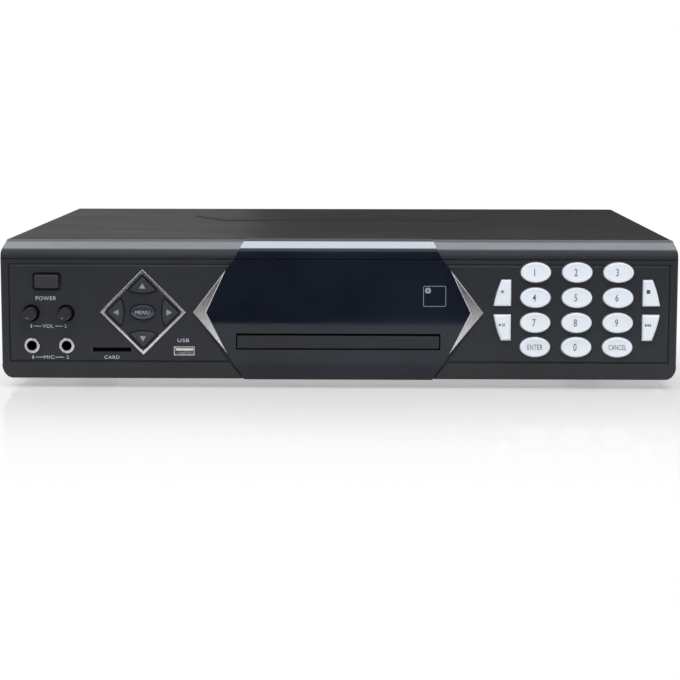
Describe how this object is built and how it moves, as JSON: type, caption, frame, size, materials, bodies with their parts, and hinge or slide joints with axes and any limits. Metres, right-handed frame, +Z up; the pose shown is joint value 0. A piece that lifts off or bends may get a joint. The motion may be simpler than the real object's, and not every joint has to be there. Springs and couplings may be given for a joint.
{
  "type": "karaoke machine",
  "caption": "Karaoke machine with a motorised disc tray, microphone jacks, volume knobs, arrow keys, a number keypad and a steel case.",
  "frame": {"origin": "on the floor plane under the centre of the machine's bounding box", "axes": "+X is the viewer's right along the front, +Y runs from the front to the back, +Z is up"},
  "size_m": [0.43, 0.294, 0.0956],
  "materials": {
    "panel_plastic": "fine satin moulded plastic, charcoal",
    "fascia_gloss": "high-gloss piano black, smoked over the display",
    "chrome_trim": "bright vacuum-plated trim",
    "silver_key": "silver metallic paint on plastic keys, printed",
    "menu_gloss": "blue-black gloss dome key, printed",
    "knob_black": "satin black knob with a pale pointer",
    "power_plastic": "satin charcoal button and arrow keys",
    "door_plastic": "semi-gloss charcoal tray door",
    "cover_paint": "fine-textured warm dark grey paint on steel",
    "zinc_steel": "zinc-plated sheet steel",
    "rear_paint": "black painted sheet steel",
    "foot_rubber": "moulded black rubber",
    "screw_steel": "plated screws",
    "board_green": "green solder mask with dark components",
    "display_glass": "display board with dark glass",
    "frame_plastic": "black moulded drive frame",
    "tray_plastic": "dark grey moulded tray",
    "gear_plastic": "natural white acetal",
    "belt_rubber": "black drive belt",
    "motor_steel": "plated motor can",
    "rod_steel": "ground steel rod",
    "sled_metal": "cast pick-up body with a glass lens",
    "socket_mix": "black socket housing with plated contacts",
    "media_metal": "plated socket shells on a board",
    "ribbon_vinyl": "pale flat cable"
  },
  "bodies": {
    "cabinet": {"front_panel": "panel_plastic", "centre_fascia": "fascia_gloss", "wing_trims": "chrome_trim", "diamond_trim": "chrome_trim", "jack_nuts": "chrome_trim", "keypad_board": "board_green", "control_board": "board_green", "mic_board": "board_green", "media_module": "media_metal", "display_module": "display_glass", "drive_belt": "belt_rubber", "loading_motor": "motor_steel", "loader_frame": "frame_plastic", "clamp_bridge": "zinc_steel", "chassis_base": "zinc_steel", "top_cover": "cover_paint", "rear_panel": "rear_paint", "feet": "foot_rubber", "av_jacks": "socket_mix", "mains_inlet": "socket_mix", "main_board": "board_green", "power_board": "board_green", "ribbon_cables": "ribbon_vinyl", "screws": "screw_steel"},
    "tray": {"disc_tray": "tray_plastic", "tray_door": "door_plastic"},
    "drive_gear": {"tray_drive_gear": "gear_plastic"},
    "belt_gear": {"pulley_gear": "gear_plastic"},
    "motor_pulley": {"motor_pulley": "gear_plastic"},
    "traverse": {"traverse_frame": "zinc_steel", "sled_rails": "rod_steel", "sled_motor": "motor_steel"},
    "lead_screw": {"lead_screw": "rod_steel"},
    "sled": {"laser_sled": "sled_metal"},
    "turntable": {"turntable": "frame_plastic"},
    "clamp_puck": {"clamp_puck": "frame_plastic"},
    "power_button": {"power_button": "power_plastic"},
    "volume_knob_1": {"volume_knob_1": "knob_black"},
    "volume_knob_2": {"volume_knob_2": "knob_black"},
    "key_menu": {"key_menu": "menu_gloss"},
    "key_1": {"key_1": "silver_key"},
    "key_2": {"key_2": "silver_key"},
    "key_3": {"key_3": "silver_key"},
    "key_4": {"key_4": "silver_key"},
    "key_5": {"key_5": "silver_key"},
    "key_6": {"key_6": "silver_key"},
    "key_7": {"key_7": "silver_key"},
    "key_8": {"key_8": "silver_key"},
    "key_9": {"key_9": "silver_key"},
    "key_0": {"key_0": "silver_key"},
    "key_enter": {"key_enter": "silver_key"},
    "key_cancel": {"key_cancel": "silver_key"},
    "key_eject": {"key_eject": "silver_key"},
    "key_play": {"key_play": "silver_key"},
    "key_stop": {"key_stop": "silver_key"},
    "key_next": {"key_next": "silver_key"},
    "key_up": {"key_up": "power_plastic"},
    "key_left": {"key_left": "power_plastic"},
    "key_down": {"key_down": "power_plastic"},
    "key_right": {"key_right": "power_plastic"}
  },
  "joints": [
    {"name": "tray_slide", "type": "slide", "parent": "cabinet", "child": "tray", "axis": [0, -1, 0], "range_m": [0, 0.132]},
    {"name": "drive_gear_turn", "type": "hinge", "parent": "cabinet", "child": "drive_gear", "pos_m": [-0.0495, -0.113, 0.024], "axis": [0, 0, 1], "range_deg": [0, 947]},
    {"name": "belt_gear_turn", "type": "hinge", "parent": "cabinet", "child": "belt_gear", "pos_m": [-0.0319, -0.113, 0.024], "axis": [0, 0, 1], "range_deg": [-2523, 0]},
    {"name": "motor_pulley_turn", "type": "hinge", "parent": "cabinet", "child": "motor_pulley", "pos_m": [0, -0.113, 0.024], "axis": [0, 0, 1], "range_deg": [-5994, 0]},
    {"name": "traverse_tilt", "type": "hinge", "parent": "cabinet", "child": "traverse", "pos_m": [0, 0.014, 0.01825], "axis": [1, 0, 0], "range_deg": [0, 2.9]},
    {"name": "turntable_spin", "type": "hinge", "parent": "traverse", "child": "turntable", "pos_m": [0, -0.073, 0.025], "axis": [0, 0, 1], "continuous": true},
    {"name": "puck_spin", "type": "hinge", "parent": "cabinet", "child": "clamp_puck", "pos_m": [0, -0.073, 0.038], "axis": [0, 0, 1], "continuous": true},
    {"name": "sled_slide", "type": "slide", "parent": "traverse", "child": "sled", "axis": [0, 1, 0], "range_m": [0, 0.034]},
    {"name": "lead_screw_turn", "type": "hinge", "parent": "traverse", "child": "lead_screw", "pos_m": [0.028, -0.02, 0.0229], "axis": [0, 1, 0], "range_deg": [0, 4082]},
    {"name": "volume_1_turn", "type": "hinge", "parent": "cabinet", "child": "volume_knob_1", "pos_m": [-0.1956, -0.141, 0.049], "axis": [0, 1, 0], "range_deg": [0, 300]},
    {"name": "volume_2_turn", "type": "hinge", "parent": "cabinet", "child": "volume_knob_2", "pos_m": [-0.1734, -0.141, 0.049], "axis": [0, 1, 0], "range_deg": [0, 300]},
    {"name": "key_1_press", "type": "slide", "parent": "cabinet", "child": "key_1", "axis": [0, 1, 0], "range_m": [0, 0.0008], "stiffness_N_per_m": 500, "springref_m": -0.0004},
    {"name": "key_2_press", "type": "slide", "parent": "cabinet", "child": "key_2", "axis": [0, 1, 0], "range_m": [0, 0.0008], "stiffness_N_per_m": 500, "springref_m": -0.0004},
    {"name": "key_3_press", "type": "slide", "parent": "cabinet", "child": "key_3", "axis": [0, 1, 0], "range_m": [0, 0.0008], "stiffness_N_per_m": 500, "springref_m": -0.0004},
    {"name": "key_4_press", "type": "slide", "parent": "cabinet", "child": "key_4", "axis": [0, 1, 0], "range_m": [0, 0.0008], "stiffness_N_per_m": 500, "springref_m": -0.0004},
    {"name": "key_5_press", "type": "slide", "parent": "cabinet", "child": "key_5", "axis": [0, 1, 0], "range_m": [0, 0.0008], "stiffness_N_per_m": 500, "springref_m": -0.0004},
    {"name": "key_6_press", "type": "slide", "parent": "cabinet", "child": "key_6", "axis": [0, 1, 0], "range_m": [0, 0.0008], "stiffness_N_per_m": 500, "springref_m": -0.0004},
    {"name": "key_7_press", "type": "slide", "parent": "cabinet", "child": "key_7", "axis": [0, 1, 0], "range_m": [0, 0.0008], "stiffness_N_per_m": 500, "springref_m": -0.0004},
    {"name": "key_8_press", "type": "slide", "parent": "cabinet", "child": "key_8", "axis": [0, 1, 0], "range_m": [0, 0.0008], "stiffness_N_per_m": 500, "springref_m": -0.0004},
    {"name": "key_9_press", "type": "slide", "parent": "cabinet", "child": "key_9", "axis": [0, 1, 0], "range_m": [0, 0.0008], "stiffness_N_per_m": 500, "springref_m": -0.0004},
    {"name": "key_0_press", "type": "slide", "parent": "cabinet", "child": "key_0", "axis": [0, 1, 0], "range_m": [0, 0.0008], "stiffness_N_per_m": 500, "springref_m": -0.0004},
    {"name": "key_enter_press", "type": "slide", "parent": "cabinet", "child": "key_enter", "axis": [0, 1, 0], "range_m": [0, 0.0008], "stiffness_N_per_m": 500, "springref_m": -0.0004},
    {"name": "key_cancel_press", "type": "slide", "parent": "cabinet", "child": "key_cancel", "axis": [0, 1, 0], "range_m": [0, 0.0008], "stiffness_N_per_m": 500, "springref_m": -0.0004},
    {"name": "key_eject_press", "type": "slide", "parent": "cabinet", "child": "key_eject", "axis": [0, 1, 0], "range_m": [0, 0.0008], "stiffness_N_per_m": 500, "springref_m": -0.0004},
    {"name": "key_play_press", "type": "slide", "parent": "cabinet", "child": "key_play", "axis": [0, 1, 0], "range_m": [0, 0.0008], "stiffness_N_per_m": 500, "springref_m": -0.0004},
    {"name": "key_stop_press", "type": "slide", "parent": "cabinet", "child": "key_stop", "axis": [0, 1, 0], "range_m": [0, 0.0008], "stiffness_N_per_m": 500, "springref_m": -0.0004},
    {"name": "key_next_press", "type": "slide", "parent": "cabinet", "child": "key_next", "axis": [0, 1, 0], "range_m": [0, 0.0008], "stiffness_N_per_m": 500, "springref_m": -0.0004},
    {"name": "key_up_press", "type": "slide", "parent": "cabinet", "child": "key_up", "axis": [0, 1, 0], "range_m": [0, 0.0008], "stiffness_N_per_m": 500, "springref_m": -0.0004},
    {"name": "key_left_press", "type": "slide", "parent": "cabinet", "child": "key_left", "axis": [0, 1, 0], "range_m": [0, 0.0008], "stiffness_N_per_m": 500, "springref_m": -0.0004},
    {"name": "key_down_press", "type": "slide", "parent": "cabinet", "child": "key_down", "axis": [0, 1, 0], "range_m": [0, 0.0008], "stiffness_N_per_m": 500, "springref_m": -0.0004},
    {"name": "key_right_press", "type": "slide", "parent": "cabinet", "child": "key_right", "axis": [0, 1, 0], "range_m": [0, 0.0008], "stiffness_N_per_m": 500, "springref_m": -0.0004},
    {"name": "key_menu_press", "type": "slide", "parent": "cabinet", "child": "key_menu", "axis": [0, 1, 0], "range_m": [0, 0.0008], "stiffness_N_per_m": 500, "springref_m": -0.0004},
    {"name": "power_press", "type": "slide", "parent": "cabinet", "child": "power_button", "axis": [0, 1, 0], "range_m": [0, 0.002], "stiffness_N_per_m": 500, "springref_m": -0.0004}
  ],
  "couplings": [
    {"joint": "drive_gear_turn", "follows": "tray_slide", "rad_per_m": 125},
    {"joint": "belt_gear_turn", "follows": "tray_slide", "rad_per_m": -333.33},
    {"joint": "motor_pulley_turn", "follows": "tray_slide", "rad_per_m": -792.35},
    {"joint": "puck_spin", "follows": "turntable_spin", "ratio": 1},
    {"joint": "lead_screw_turn", "follows": "sled_slide", "rad_per_m": 2094.4}
  ]
}
